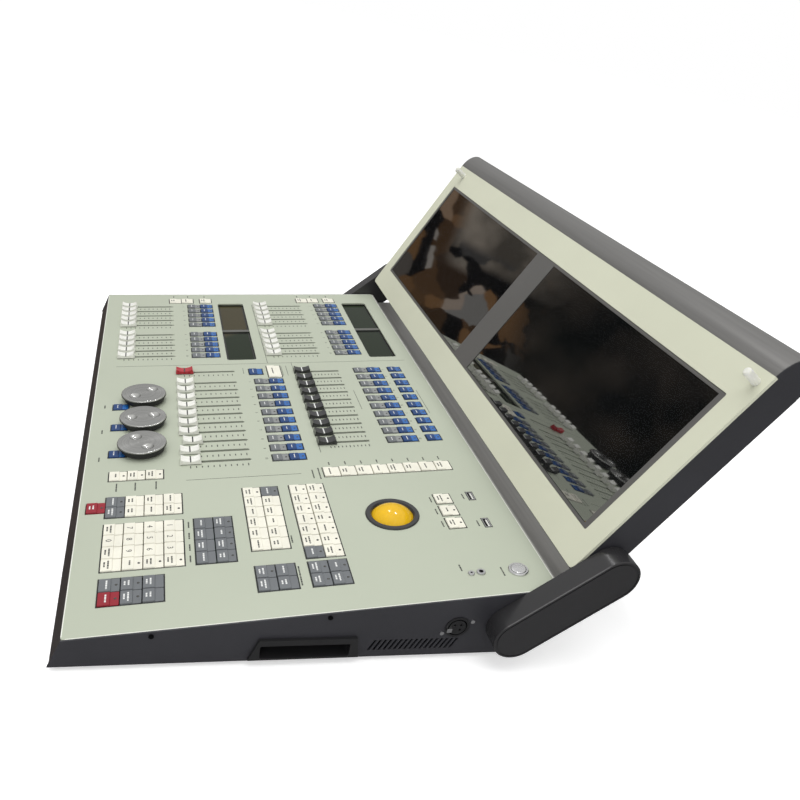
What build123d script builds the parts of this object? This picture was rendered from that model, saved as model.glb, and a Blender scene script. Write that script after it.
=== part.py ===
from build123d import *
import math
import os

# Lighting control desk: a low wedge-shaped desk with a sloping control fascia and a screen lid on two arms.
# World frame: +X to the operator's right, +Y away from the operator, +Z up, Z = 0 under the feet.
# Fascia frame: x from the desk's left edge, y up the slope from the front edge, z out of the fascia.
# Lid frame: x as above, y up the bezel from its bottom edge, z out of the bezel's face.

# ---- driving dimensions, millimetres and degrees ----
DESK_WIDTH = 740.0
FASCIA_DEPTH = 397.5
FASCIA_TILT = 6.57
FRONT_EDGE_Y = -252.9
FRONT_EDGE_Z = 29.86
FOOT_HEIGHT = 4.0
SHEET = 1.5
FASCIA_SHEET = 2.0
FRONT_TOE_Y = -264.0
REAR_Y = 176.0
REAR_WALL_Y = 131.0
LEDGE_FOOT_Z = 50.0
LEDGE_ROOT_Z = 32.0
SHELF_DROP = 13.0
SHELF_END = 428.0

ARM_LOW = (355.3, -32.3)
ARM_HIGH = (433.0, 21.8)
ARM_RADIUS = 20.8
ARM_GAP = 0.5
ARM_DEPTH = 19.2
COVER_DEPTH = 1.9
ARM_WALL = 2.6
SHAFT_RADIUS = 8.0
PIN_RADIUS = 4.0
RUNNING_GAP = 0.05

LID_BOTTOM = (401.2, 21.6)
LID_TILT = 53.55
LID_HEIGHT = 206.2
LID_THICK = 34.0
LID_OVERHANG = 1.0
BEZEL_SHEET = 3.0
CHEEK_SHEET = 2.5
SURROUND = (23.7, 718.9, 29.1, 177.5)
GLASS_V = (32.0, 174.4)
GLASS_X = ((28.0, 347.0), (393.0, 712.0))
BUMPERS = ((31.0, 195.8), (731.0, 195.8))
BUMPER_RADIUS = 3.5
BUMPER_HEIGHT = 16.0

KEY_PITCH = 16.85
KEY_GAP = 0.8
WINDOW_MARGIN = 0.5
KEY_FOOT = -5.0
KEY_LOW = 0.5
KEY_TOP = 1.3
BANK_KEY_WIDTH = 12.6
BANK_KEY_LENGTH = 17.4

FADER_TRAVEL = 60.0
SHORT_TRAVEL = 45.0
STEM_HALF = 1.5
SLOT_WIDTH = 2.4
CAP_WIDTH = 11.0
CAP_LENGTH = 21.0
CAP_TOP = 6.0
CAP_DIP = 3.6

WHEEL_RADIUS = 24.0
WHEEL_TOP = 9.6
WHEEL_RIM = 7.3
WHEEL_FOOT = 1.7
SKIRT_RADIUS = 20.5
WHEELS = ((353.2, 54.6, 130.0), (410.3, 54.5, 100.0), (466.5, 54.1, 30.0))

BALL_CENTRE = (612.6, 281.1)
BALL_RADIUS = 25.4
BALL_OPENING = 19.2
BALL_RING = 25.7
BALL_DEPTH = 16.8

WINDOWS = ((40.0, 246.0, 154.0, 191.0), (40.0, 246.0, 340.0, 377.0))
WINDOW_DIVIDER = (138.5, 147.5)

USB_PORTS = ((590.5, 366.5), (637.0, 367.0))
POWER_BUTTON = (710.0, 370.5)
JACKS = ((708.5, 336.5, 4.0), (709.0, 327.5, 3.0))

# Fader banks: first x, pitch, count, top stem centre, resting stem centre, travel.
LEFT_X = [52.0 + 17.88 * i for i in range(5)] + [158.5 + 17.88 * i for i in range(5)]
PLAYBACK_X = [312.3 + 20.45 * i for i in range(10)]
SHORT_X = [287.3 + 20.33 * i for i in range(10)]
MASTER_X = 281.0
FRONT_BANK = {"x": LEFT_X, "top": 88.7, "rest": 31.0, "travel": FADER_TRAVEL}
REAR_BANK = {"x": LEFT_X, "top": 273.7, "rest": 214.8, "travel": FADER_TRAVEL}
PLAYBACK_BANK = {"x": PLAYBACK_X, "top": 158.7, "rest": 100.5, "travel": FADER_TRAVEL}
SHORT_BANK = {"x": SHORT_X, "top": 288.2, "rest": 243.2, "travel": SHORT_TRAVEL}
MASTER_BANK = {"x": [MASTER_X], "top": 158.7, "rest": 100.5, "travel": FADER_TRAVEL}
RAISED_PLAYBACK = 7
RAISED_BY = 3.5

# Column keys of the banks: x list, y of the front edge.  Grey in front, blue behind.
BANK_KEYS = ((LEFT_X, 111.0), (LEFT_X, 296.0), (PLAYBACK_X, 182.0), (SHORT_X, 310.0))
BLUE_ROW_Y = 355.0

# Key fields: left x, front y, columns, rows.
FIELDS = {
    "scroll": (508.0, 23.3, 1, 3),
    "select": (553.2, 22.8, 2, 4),
    "numbers": (597.0, 22.8, 4, 4),
    "locate": (673.6, 22.8, 2, 3),
    "attribute": (597.0, 99.3, 4, 2),
    "record": (551.2, 146.3, 6, 2),
    "preset": (673.6, 146.3, 2, 2),
    "macro": (551.2, 191.0, 7, 2),
    "time": (673.6, 191.0, 2, 2),
}
MENU_KEYS = (521.5, 229.3, 8)
MENU_KEY_WIDTH = 17.8
MOUSE_KEYS = ((592.5, 337.0), (613.0, 337.0), (634.0, 337.0))
SHIFT_KEY = (569.7, 14.6)
BLUE_MODE_KEY = (284.0, 186.0)
WHITE_MODE_KEY = (284.5, 208.8)
WHITE_MODE_WIDTH = 33.0
WHEEL_KEYS = ((369.0, 29.5), (417.0, 29.5), (473.5, 29.5))
PAGE_KEYS = ((29.0, 137.0), (29.0, 111.0), (29.0, 94.0), (29.0, 322.0), (29.0, 297.5), (29.0, 280.5))

GREY_CELLS = {
    "select": {(0, 0), (1, 0)},
    "locate": {(0, 0), (0, 1), (1, 1), (0, 2), (1, 2)},
    "attribute": {(c, r) for c in range(4) for r in range(2)},
    "record": {(0, 1)},
    "preset": {(c, r) for c in range(2) for r in range(2)},
    "macro": {(6, 0)},
    "time": {(c, r) for c in range(2) for r in range(2)},
}
RED_CELLS = {"locate": {(1, 0)}}

# Side panel features in the world frame, (Y, Z).
HANDLE_OPENING = (-108.0, -34.5, 8.6, 21.8)
HANDLE_FRAME = ((-117.0, 6.6), (-26.0, 6.6), (-29.5, 27.6), (-109.0, 27.6))
HANDLE_RAISED = 3.0
HANDLE_POCKET = 26.0
HANDLE_WALL = 1.2
VENT_COUNT = 17
VENT_FIRST_Y = -15.0
VENT_PITCH = 4.56
VENT_Z = (11.5, 22.8)
VENT_LEAN = 5.0
VENT_WIDTH = 2.2
SIDE_SOCKET = (57.0, 35.4)
SOCKET_RADIUS = 11.0
SIDE_SCREWS = ((-189.8, 33.1), (-54.7, 48.6))

REAR_SOCKET_X = (-90.0, -50.0, -10.0, 30.0)
REAR_ROW_Z = 18.5
REAR_WALL_TOP = 71.0
NETWORK_X = (90.0, 116.0)
REAR_USB_X = (150.0, 176.0)
INLET_X = 290.0

FOOT_PLACES = [(x, y) for x in (-330.0, 0.0, 330.0) for y in (-215.0, 108.0)]

# ---- frames ----
FASCIA = Location((-DESK_WIDTH / 2, FRONT_EDGE_Y, FRONT_EDGE_Z), (FASCIA_TILT, 0, 0))
CENTRING = Location((0, -6.8, 0))
LID = FASCIA * Location((0, LID_BOTTOM[0], LID_BOTTOM[1]), (LID_TILT, 0, 0))
HALF = DESK_WIDTH / 2


def world_yz(y, z):
    """Fascia-frame (y, z) as world (Y, Z)."""
    tilt = math.radians(FASCIA_TILT)
    return (
        FRONT_EDGE_Y + y * math.cos(tilt) - z * math.sin(tilt),
        FRONT_EDGE_Z + y * math.sin(tilt) + z * math.cos(tilt),
    )


def block(x0, x1, y0, y1, z0, z1):
    centre = ((x0 + x1) / 2, (y0 + y1) / 2, (z0 + z1) / 2)
    return Pos(*centre) * Box(x1 - x0, y1 - y0, z1 - z0)


def round_block(x0, x1, y0, y1, z0, z1, radius):
    face = Pos((x0 + x1) / 2, (y0 + y1) / 2, z0) * RectangleRounded(x1 - x0, y1 - y0, radius)
    return extrude(face, z1 - z0)


def post(x, y, z0, z1, radius):
    return Pos(x, y, (z0 + z1) / 2) * Cylinder(radius, z1 - z0)


def side_prism(face, x0, x1):
    """A face drawn with x as Y and y as Z, made solid between two X planes."""
    return Pos(x0, 0, 0) * extrude(Plane.YZ * face, x1 - x0)


def side_rod(y, z, radius, x0, x1):
    return side_prism(Pos(y, z) * Circle(radius), x0, x1)


def rear_rod(x, z, radius, y0, y1):
    return Pos(x, (y0 + y1) / 2, z) * Rot(90, 0, 0) * Cylinder(radius, y1 - y0)


def save(name, *solids):
    """Writes one node, moved so that the origin lies under the middle of the whole desk."""
    pieces = []
    for shape in solids:
        pieces.extend(shape.moved(CENTRING).solids())
    whole = pieces[0] if len(pieces) == 1 else Compound(children=pieces)
    export_step(whole, "parts/" + name + ".step")


# ---- layout helpers ----
def field_cells():
    """Every key of the rectangular fields: field, column, row, centre x, centre y."""
    cells = []
    for field, (x, y, columns, rows) in FIELDS.items():
        for column in range(columns):
            for row in range(rows):
                centre_x = x + KEY_PITCH * (column + 0.5)
                centre_y = y + KEY_PITCH * (row + 0.5)
                cells.append((field, column, row, centre_x, centre_y))
    return cells


def menu_key_centres():
    x, y, count = MENU_KEYS
    return [(x + MENU_KEY_WIDTH / 2, y + KEY_PITCH * (i + 0.5)) for i in range(count)]


def bank_slot(bank):
    """Front and rear end of a bank's slots."""
    margin = STEM_HALF + 0.3
    return bank["top"] - bank["travel"] - margin, bank["top"] + margin


BANKS = (FRONT_BANK, REAR_BANK, PLAYBACK_BANK, SHORT_BANK, MASTER_BANK)


# ---- keys ----
def key(x, y, width, length):
    """A keycap with a raised front half for its legend and a lower rear half for its lamp."""
    skirt = round_block(-width / 2, width / 2, -length / 2, length / 2, KEY_FOOT, KEY_LOW, 0.7)
    legend = Pos(0, -length * 0.2, KEY_LOW) * RectangleRounded(width, length * 0.6, 0.6)
    cap = skirt + extrude(legend, KEY_TOP - KEY_LOW, taper=25)
    return FASCIA * Pos(x, y, 0) * cap


def field_key(x, y):
    return key(x, y, KEY_PITCH - KEY_GAP, KEY_PITCH - KEY_GAP)


def grey_bank_keys():
    keys = []
    for xs, y in BANK_KEYS:
        keys += [key(x, y + BANK_KEY_LENGTH / 2, BANK_KEY_WIDTH, BANK_KEY_LENGTH - KEY_GAP) for x in xs]
    return keys


def blue_bank_keys():
    keys = []
    for xs, y in BANK_KEYS:
        rear = y + BANK_KEY_LENGTH * 1.5
        keys += [key(x, rear, BANK_KEY_WIDTH, BANK_KEY_LENGTH - KEY_GAP) for x in xs]
    for x in SHORT_X:
        keys.append(key(x, BLUE_ROW_Y + KEY_PITCH / 2, BANK_KEY_WIDTH, KEY_PITCH - KEY_GAP))
    for x, y in WHEEL_KEYS:
        keys.append(key(x, y, BANK_KEY_WIDTH, KEY_PITCH - KEY_GAP))
    keys.append(field_key(*BLUE_MODE_KEY))
    return keys


def white_keys():
    keys = []
    for field, column, row, x, y in field_cells():
        other = GREY_CELLS.get(field, set()) | RED_CELLS.get(field, set())
        if (column, row) not in other:
            keys.append(field_key(x, y))
    for x, y in menu_key_centres():
        keys.append(key(x, y, MENU_KEY_WIDTH - KEY_GAP, KEY_PITCH - KEY_GAP))
    for x, y in MOUSE_KEYS + PAGE_KEYS:
        keys.append(field_key(x, y))
    keys.append(key(*WHITE_MODE_KEY, WHITE_MODE_WIDTH, KEY_PITCH - KEY_GAP))
    return keys


def grey_keys():
    cells = field_cells()
    return [field_key(x, y) for field, c, r, x, y in cells if (c, r) in GREY_CELLS.get(field, set())]


def red_keys():
    keys = [field_key(x, y) for field, c, r, x, y in field_cells() if (c, r) in RED_CELLS.get(field, set())]
    keys.append(field_key(*SHIFT_KEY))
    return keys


# ---- faders ----
def fader_cap(x, y):
    """A cap with high ends and a finger dip, on a blade that runs down through its slot."""
    half = CAP_LENGTH / 2
    outline = Polyline((-half + 1.2, CAP_TOP), (-half, 0.8), (half, 0.8), (half - 1.2, CAP_TOP))
    dip = ThreePointArc((half - 1.2, CAP_TOP), (0, CAP_DIP), (-half + 1.2, CAP_TOP))
    body = side_prism(make_face(outline + dip), -CAP_WIDTH / 2, CAP_WIDTH / 2)
    line = block(-CAP_WIDTH, CAP_WIDTH, -0.4, 0.4, CAP_DIP - 0.4, CAP_TOP)
    stem = block(-0.6, 0.6, -STEM_HALF, STEM_HALF, -9.0, 1.5)
    return FASCIA * Pos(x, y, 0) * (body - line + stem)


def bank_caps(bank):
    return [fader_cap(x, bank["rest"]) for x in bank["x"]]


def fader_tracks():
    """One grooved track under each slot."""
    tracks = []
    for bank in BANKS:
        low, high = bank_slot(bank)
        for x in bank["x"]:
            track = block(x - 4.5, x + 4.5, low - 6, high + 6, -12.0, -FASCIA_SHEET - 0.6)
            groove = block(x - SLOT_WIDTH / 2, x + SLOT_WIDTH / 2, low, high, -10.0, 0)
            tracks.append(FASCIA * (track - groove))
    return tracks


# ---- wheels, ball, button ----
def encoder_wheel(x, y, turn):
    """A turned wheel with two finger dimples, a narrower skirt below and a shaft into its encoder."""
    disc = post(0, 0, WHEEL_RIM, WHEEL_TOP, WHEEL_RADIUS)
    disc = fillet(disc.edges().group_by(Axis.Z)[-1], 1.0)
    skirt = post(0, 0, WHEEL_FOOT, WHEEL_RIM, SKIRT_RADIUS)
    wheel = disc + skirt
    for angle in (turn, turn + 180):
        reach = 12.0
        dx = reach * math.cos(math.radians(angle))
        dy = reach * math.sin(math.radians(angle))
        wheel -= Pos(dx, dy, WHEEL_TOP + 6.5) * Sphere(9.0)
    wheel += post(0, 0, -11.0, WHEEL_FOOT, 3.0)
    return FASCIA * Pos(x, y, 0) * wheel


def encoder_units():
    units = []
    for x, y, _turn in WHEELS:
        body = block(x - 10, x + 10, y - 10, y + 10, -17.0, -4.0)
        bush = post(x, y, -4.0, -FASCIA_SHEET - 0.1, 5.0)
        bore = post(x, y, -12.0, 0, 3.0 + RUNNING_GAP)
        units.append(FASCIA * (body + bush - bore))
    return units


def trackball():
    x, y = BALL_CENTRE
    return FASCIA * Pos(x, y, -BALL_DEPTH) * Sphere(BALL_RADIUS)


def trackball_ring():
    x, y = BALL_CENTRE
    ring = post(x, y, 0, 1.6, BALL_RING)
    ring = chamfer(ring.edges().group_by(Axis.Z)[-1], 0.8)
    mouth = Pos(x, y, 0.8) * Cone(BALL_OPENING + 0.4, BALL_OPENING + 2.0, 1.8)
    return FASCIA * (ring - mouth)


def trackball_housing():
    """The cup that holds the ball, hung under the fascia."""
    x, y = BALL_CENTRE
    cup = post(x, y, -46.0, -FASCIA_SHEET - 0.1, BALL_RADIUS + 4.5)
    hollow = Pos(x, y, -BALL_DEPTH) * Sphere(BALL_RADIUS + 0.6)
    throat = post(x, y, -BALL_DEPTH, 0, BALL_RADIUS + 0.6)
    flange = block(x - 34, x + 34, y - 34, y + 34, -6.0, -FASCIA_SHEET - 0.1)
    return FASCIA * (cup + flange - hollow - throat)


def power_button():
    x, y = POWER_BUTTON
    cap = post(x, y, -3.5, 2.2, 6.8)
    cap = fillet(cap.edges().group_by(Axis.Z)[-1], 0.8)
    return FASCIA * (cap + post(x, y, -10.0, -3.5, 3.0))


def power_button_ring():
    x, y = POWER_BUTTON
    ring = post(x, y, 0, 1.6, 9.0)
    ring = chamfer(ring.edges().group_by(Axis.Z)[-1], 0.6)
    barrel = post(x, y, -15.0, 0, 8.0)
    bore = post(x, y, -3.6 - 1.5, 3.0, 7.0)
    guide = post(x, y, -13.0, 0, 3.2)
    return FASCIA * (ring + barrel - bore - guide)


# ---- fascia ----
def rectangle(x0, x1, y0, y1, radius=0.0):
    centre = Pos((x0 + x1) / 2, (y0 + y1) / 2)
    if radius:
        return centre * RectangleRounded(x1 - x0, y1 - y0, radius)
    return centre * Rectangle(x1 - x0, y1 - y0)


def key_window(x0, x1, y0, y1):
    margin = WINDOW_MARGIN
    return rectangle(x0 - margin, x1 + margin, y0 - margin, y1 + margin, 0.6)


def key_windows():
    """Openings in the fascia for keys, one for each field or column."""
    edge = 0.3
    holes = []
    for x, y, columns, rows in FIELDS.values():
        holes.append(key_window(x, x + columns * KEY_PITCH, y, y + rows * KEY_PITCH))
    x, y, count = MENU_KEYS
    holes.append(key_window(x, x + MENU_KEY_WIDTH, y, y + count * KEY_PITCH))
    half = KEY_PITCH / 2
    for cx, cy in MOUSE_KEYS + PAGE_KEYS + (SHIFT_KEY, BLUE_MODE_KEY):
        holes.append(key_window(cx - half, cx + half, cy - half, cy + half))
    cx, cy = WHITE_MODE_KEY
    wide = WHITE_MODE_WIDTH / 2 + edge
    holes.append(key_window(cx - wide, cx + wide, cy - half, cy + half))
    wide = BANK_KEY_WIDTH / 2 + edge
    for cx, cy in WHEEL_KEYS:
        holes.append(key_window(cx - wide, cx + wide, cy - half, cy + half))
    for cx in SHORT_X:
        holes.append(key_window(cx - wide, cx + wide, BLUE_ROW_Y, BLUE_ROW_Y + KEY_PITCH))
    for xs, y in BANK_KEYS:
        for cx in xs:
            holes.append(key_window(cx - wide, cx + wide, y, y + 2 * BANK_KEY_LENGTH))
    return holes


def control_fascia():
    outline = rectangle(0, DESK_WIDTH, 0, FASCIA_DEPTH, 3.0)
    holes = key_windows()
    for bank in BANKS:
        low, high = bank_slot(bank)
        half = SLOT_WIDTH / 2
        holes += [rectangle(x - half, x + half, low, high) for x in bank["x"]]
    holes += [rectangle(*window, 4.0) for window in WINDOWS]
    holes += [Pos(x, y) * Circle(3.4) for x, y, _turn in WHEELS]
    holes.append(Pos(*BALL_CENTRE) * Circle(BALL_OPENING + 2.0))
    holes += [rectangle(x - 7.0, x + 7.0, y - 3.1, y + 3.1) for x, y in USB_PORTS]
    holes.append(Pos(*POWER_BUTTON) * Circle(8.0))
    holes += [Pos(x, y) * Circle(radius - 1.0) for x, y, radius in JACKS]
    plate = extrude(outline - holes, -FASCIA_SHEET)
    return FASCIA * plate


def channel_displays():
    """Two small screens under each window, with a bar between them."""
    screens = []
    inner, outer = WINDOW_DIVIDER
    for x0, x1, y0, y1 in WINDOWS:
        for left, right in ((x0 - 3, inner), (outer, x1 + 3)):
            screens.append(FASCIA * block(left, right, y0 - 4, y1 + 4, -9.0, -3.2))
        screens.append(FASCIA * block(inner + 0.1, outer - 0.1, y0 - 4, y1 + 4, -9.0, -2.1))
    return screens


def fascia_usb_ports():
    ports = []
    for x, y in USB_PORTS:
        shell = block(x - 6.9, x + 6.9, y - 3.0, y + 3.0, -16.0, 0.3)
        mouth = block(x - 6.2, x + 6.2, y - 2.3, y + 2.3, -12.0, 1.0)
        tongue = block(x - 5.6, x + 5.6, y + 0.2, y + 2.0, -12.5, -0.6)
        ports.append(FASCIA * (shell - mouth + tongue))
    return ports


def fascia_jacks():
    """The lamp jack and the small indicator beside it."""
    jacks = []
    for x, y, radius in JACKS:
        nut = chamfer(post(x, y, 0, 1.4, radius).edges().group_by(Axis.Z)[-1], 0.4)
        barrel = post(x, y, -14.0, 0.1, radius - 1.05)
        jacks.append(FASCIA * (nut + barrel - post(x, y, -12.0, 2.0, radius - 2.0)))
    return jacks


# ---- boards and units inside ----
def key_boards():
    """Switch boards hung under the key fields and key columns."""
    boards = []
    areas = [(553.0, 707.5, 21.0, 225.0), (18.0, 242.0, 113.0, 143.0), (18.0, 242.0, 299.0, 329.0)]
    areas += [(270.0, 505.0, 180.0, 218.0), (277.0, 480.0, 306.0, 372.0), (515.0, 541.0, 228.0, 366.0)]
    for x0, x1, y0, y1 in areas:
        boards.append(FASCIA * block(x0, x1, y0, y1, -14.6, -13.0))
    return boards


def key_switches():
    """A small push switch under every key, standing on its board."""
    centres = [(x, y) for _f, _c, _r, x, y in field_cells()]
    centres = [(x, y) for x, y in centres if x > 553]
    switches = []
    for x, y in centres + menu_key_centres():
        switches.append(FASCIA * block(x - 3, x + 3, y - 3, y + 3, -13.0, -7.0))
    return switches


def mainboard():
    base_z = FOOT_HEIGHT + SHEET
    board = block(-110, 110, -60, 60, base_z + 6, base_z + 7.6)
    cooler = block(-25, 25, -25, 25, base_z + 7.6, base_z + 17)
    posts = [post(x, y, base_z, base_z + 6, 3) for x in (-100, 100) for y in (-50, 50)]
    whole = board + cooler
    for item in posts:
        whole += item
    return whole


def power_supply():
    base_z = FOOT_HEIGHT + SHEET
    return round_block(-330, -210, 20, 88, base_z, base_z + 30, 2.0)


# ---- case ----
def side_outline():
    """Outline of a side panel: slanted toe, sloping top, step down to the ledge, and the ledge's gusset."""
    points = [
        (FRONT_TOE_Y, FOOT_HEIGHT),
        world_yz(0, 0),
        world_yz(FASCIA_DEPTH + 0.5, 0),
        world_yz(FASCIA_DEPTH + 0.5, -SHELF_DROP),
        (REAR_Y, world_yz(SHELF_END, -SHELF_DROP)[1]),
        (REAR_Y, LEDGE_FOOT_Z),
        (REAR_WALL_Y, LEDGE_ROOT_Z),
        (REAR_WALL_Y, FOOT_HEIGHT),
    ]
    return make_face(Polyline(*points, close=True))


def vent_face(index):
    y = VENT_FIRST_Y + index * VENT_PITCH
    low, high = VENT_Z
    half = VENT_WIDTH / 2
    shift = VENT_LEAN / 2
    points = [(y - shift - half, low), (y - shift + half, low), (y + shift + half, high), (y + shift - half, high)]
    return make_face(Polyline(*points, close=True))


def side_panel(right):
    y0, y1, z0, z1 = HANDLE_OPENING
    wall = HANDLE_WALL + 0.1
    face = side_outline() - [vent_face(i) for i in range(VENT_COUNT)]
    face -= rectangle(y0 - wall, y1 + wall, z0 - wall, z1 + wall, 2.0)
    face -= Pos(*world_yz(*ARM_LOW)) * Circle(SHAFT_RADIUS + RUNNING_GAP)
    face -= [Pos(y, z) * Circle(1.6) for y, z in SIDE_SCREWS]
    if right:
        face -= Pos(*SIDE_SOCKET) * Circle(SOCKET_RADIUS - 1.0)
        return side_prism(face, HALF, HALF + SHEET)
    return side_prism(face, -HALF - SHEET, -HALF)


def base_tray():
    """Floor and slanted front apron, folded from one sheet."""
    low_y, low_z = FRONT_TOE_Y, FOOT_HEIGHT
    top_y, top_z = world_yz(0, -FASCIA_SHEET - 0.05)
    points = [
        (low_y + 1.0, low_z),
        (REAR_WALL_Y, low_z),
        (REAR_WALL_Y, low_z + SHEET),
        (low_y + 3.0, low_z + SHEET),
        (top_y + SHEET, top_z),
        (top_y - 0.3, top_z),
    ]
    return side_prism(make_face(Polyline(*points, close=True)), -HALF, HALF)


def rear_trim_strip():
    """Grey folded strip: a short riser behind the fascia and the shelf below the lid."""
    y0 = FASCIA_DEPTH + 0.5
    riser = block(0, DESK_WIDTH, y0, y0 + 1.5, -SHELF_DROP - 1.5, -0.8)
    shelf = block(0, DESK_WIDTH, y0, SHELF_END, -SHELF_DROP - 1.5, -SHELF_DROP)
    return FASCIA * (riser + shelf)


def rear_panel():
    """Upright wall set in under the ledge, with its sockets in one row."""
    floor = FOOT_HEIGHT + SHEET
    panel = block(-HALF, HALF, REAR_WALL_Y - SHEET, REAR_WALL_Y, floor, REAR_WALL_TOP)
    for x in REAR_SOCKET_X:
        panel -= rear_rod(x, REAR_ROW_Z, SOCKET_RADIUS - 1.0, REAR_WALL_Y - 5, REAR_WALL_Y + 5)
    for x in NETWORK_X:
        panel -= block(x - 8.0, x + 8.0, REAR_WALL_Y - 5, REAR_WALL_Y + 5, REAR_ROW_Z - 7, REAR_ROW_Z + 7)
    for x in REAR_USB_X:
        panel -= block(x - 7.0, x + 7.0, REAR_WALL_Y - 5, REAR_WALL_Y + 5, REAR_ROW_Z - 3.1, REAR_ROW_Z + 3.1)
    panel -= block(INLET_X - 14, INLET_X + 14, REAR_WALL_Y - 5, REAR_WALL_Y + 5, REAR_ROW_Z - 10.5, REAR_ROW_Z + 10.5)
    return panel


def socket_body(holes, radius):
    """A round data socket along +Z, its face at z = 0.8, with contact holes and a latch tab."""
    flange = post(0, 0, 0, 0.8, radius)
    barrel = post(0, 0, -18.0, 0, radius - 1.05)
    gap = post(0, 0, -6.0, 1, radius - 2.2) - post(0, 0, -7.0, 1, radius - 3.4)
    insert_holes = []
    for i in range(holes):
        angle = 2 * math.pi * (i + 0.5) / (holes + 1) - math.pi / 2
        x, y = 3.9 * math.cos(angle), 3.9 * math.sin(angle)
        insert_holes.append(post(x, y, -10.0, 1, 1.1))
    whole = flange + barrel - gap
    for hole in insert_holes:
        whole -= hole
    return whole


def side_data_socket():
    y, z = SIDE_SOCKET
    place = Plane(origin=(HALF + SHEET, y, z), x_dir=(0, 1, 0), z_dir=(1, 0, 0))
    return place * socket_body(3, SOCKET_RADIUS)


def rear_data_sockets():
    sockets = []
    for x in REAR_SOCKET_X:
        place = Plane(origin=(x, REAR_WALL_Y, REAR_ROW_Z), x_dir=(-1, 0, 0), z_dir=(0, 1, 0))
        sockets.append(place * socket_body(5, SOCKET_RADIUS))
    return sockets


def socket_screws_and_latch():
    """Two countersunk screws and the latch tab of the side socket."""
    y, z = SIDE_SOCKET
    x = HALF + SHEET
    screw_a = side_rod(y + 12.6, z + 6.0, 1.9, x, x + 0.9)
    screw_b = side_rod(y - 12.6, z - 6.5, 1.9, x, x + 0.9)
    tab = block(x + 0.85, x + 2.6, y - 9.6, y - 5.2, z - 4.0, z + 0.2)
    return [screw_a, screw_b, tab]


def rear_port_row():
    """Network and USB ports of the rear panel."""
    ports = []
    for x in NETWORK_X:
        shell = block(x - 7.9, x + 7.9, REAR_WALL_Y - 20, REAR_WALL_Y + 0.4, REAR_ROW_Z - 6.9, REAR_ROW_Z + 6.9)
        mouth = block(x - 6.0, x + 6.0, REAR_WALL_Y - 14, REAR_WALL_Y + 1, REAR_ROW_Z - 4.2, REAR_ROW_Z + 3.4)
        ports.append(shell - mouth)
    for x in REAR_USB_X:
        shell = block(x - 6.9, x + 6.9, REAR_WALL_Y - 16, REAR_WALL_Y + 0.4, REAR_ROW_Z - 3, REAR_ROW_Z + 3)
        mouth = block(x - 6.2, x + 6.2, REAR_WALL_Y - 12, REAR_WALL_Y + 1, REAR_ROW_Z - 2.3, REAR_ROW_Z + 2.3)
        tongue = block(x - 5.6, x + 5.6, REAR_WALL_Y - 12.5, REAR_WALL_Y - 0.5, REAR_ROW_Z + 0.2, REAR_ROW_Z + 2.0)
        ports.append(shell - mouth + tongue)
    return ports


def power_inlet():
    """A three-blade mains inlet in the rear panel."""
    x, z = INLET_X, REAR_ROW_Z
    flange = block(x - 16, x + 16, REAR_WALL_Y, REAR_WALL_Y + 1.6, z - 12.5, z + 12.5)
    shell = block(x - 13.9, x + 13.9, REAR_WALL_Y - 22, REAR_WALL_Y + 0.1, z - 10.4, z + 10.4)
    mouth = block(x - 12, x + 12, REAR_WALL_Y - 17, REAR_WALL_Y + 3, z - 8, z + 8)
    whole = flange + shell - mouth
    for dx, dz in ((-7.0, -1.0), (0.0, 3.0), (7.0, -1.0)):
        whole += block(x + dx - 1, x + dx + 1, REAR_WALL_Y - 17.5, REAR_WALL_Y - 5, z + dz - 2, z + dz + 2)
    return whole


def handle(right):
    """A finger pocket with a raised surround on the side panel."""
    y0, y1, z0, z1 = HANDLE_OPENING
    wall = HANDLE_WALL
    hole = rectangle(y0, y1, z0, z1, 1.5)
    frame = make_face(Polyline(*HANDLE_FRAME, close=True)) - hole
    sleeve = rectangle(y0 - wall, y1 + wall, z0 - wall, z1 + wall, 1.9)
    x = HALF + SHEET
    raised = side_prism(frame, x, x + HANDLE_RAISED)
    pocket = side_prism(sleeve - hole, x - HANDLE_POCKET, x + 0.5)
    back = side_prism(sleeve, x - HANDLE_POCKET - wall, x - HANDLE_POCKET)
    whole = raised + pocket + back
    return whole if right else mirror(whole, Plane.YZ)


def feet():
    return [post(x, y, 0, FOOT_HEIGHT, 9.0) for x, y in FOOT_PLACES]


def case_screws():
    screws = []
    for y, z in SIDE_SCREWS:
        for side in (1, -1):
            head = side_rod(y, z, 2.1, HALF + SHEET, HALF + SHEET + 0.8)
            shank = side_rod(y, z, 1.5, HALF - 6.0, HALF + SHEET + 0.1)
            screw = head + shank
            screws.append(screw if side == 1 else mirror(screw, Plane.YZ))
    return screws


def shaft_bushes():
    """Bearing blocks behind the side panels that carry the arm shaft."""
    y, z = world_yz(*ARM_LOW)
    blocks = []
    for x0, x1 in ((HALF - 16, HALF - 0.1), (-HALF + 0.1, -HALF + 16)):
        body = block(x0, x1, y - 14, y + 14, FOOT_HEIGHT + SHEET, z + 13)
        blocks.append(body - side_rod(y, z, SHAFT_RADIUS + RUNNING_GAP, x0 - 1, x1 + 1))
    return blocks


# ---- arms ----
def arm_outline(radius):
    """Capsule outline between the two pivots, in the world YZ plane."""
    low = world_yz(*ARM_LOW)
    high = world_yz(*ARM_HIGH)
    reach = math.dist(low, high)
    angle = math.degrees(math.atan2(high[1] - low[1], high[0] - low[0]))
    middle = ((low[0] + high[0]) / 2, (low[1] + high[1]) / 2)
    capsule = SlotCenterToCenter(reach, 2 * radius)
    return Pos(*middle) * Rot(0, 0, angle) * capsule


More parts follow.
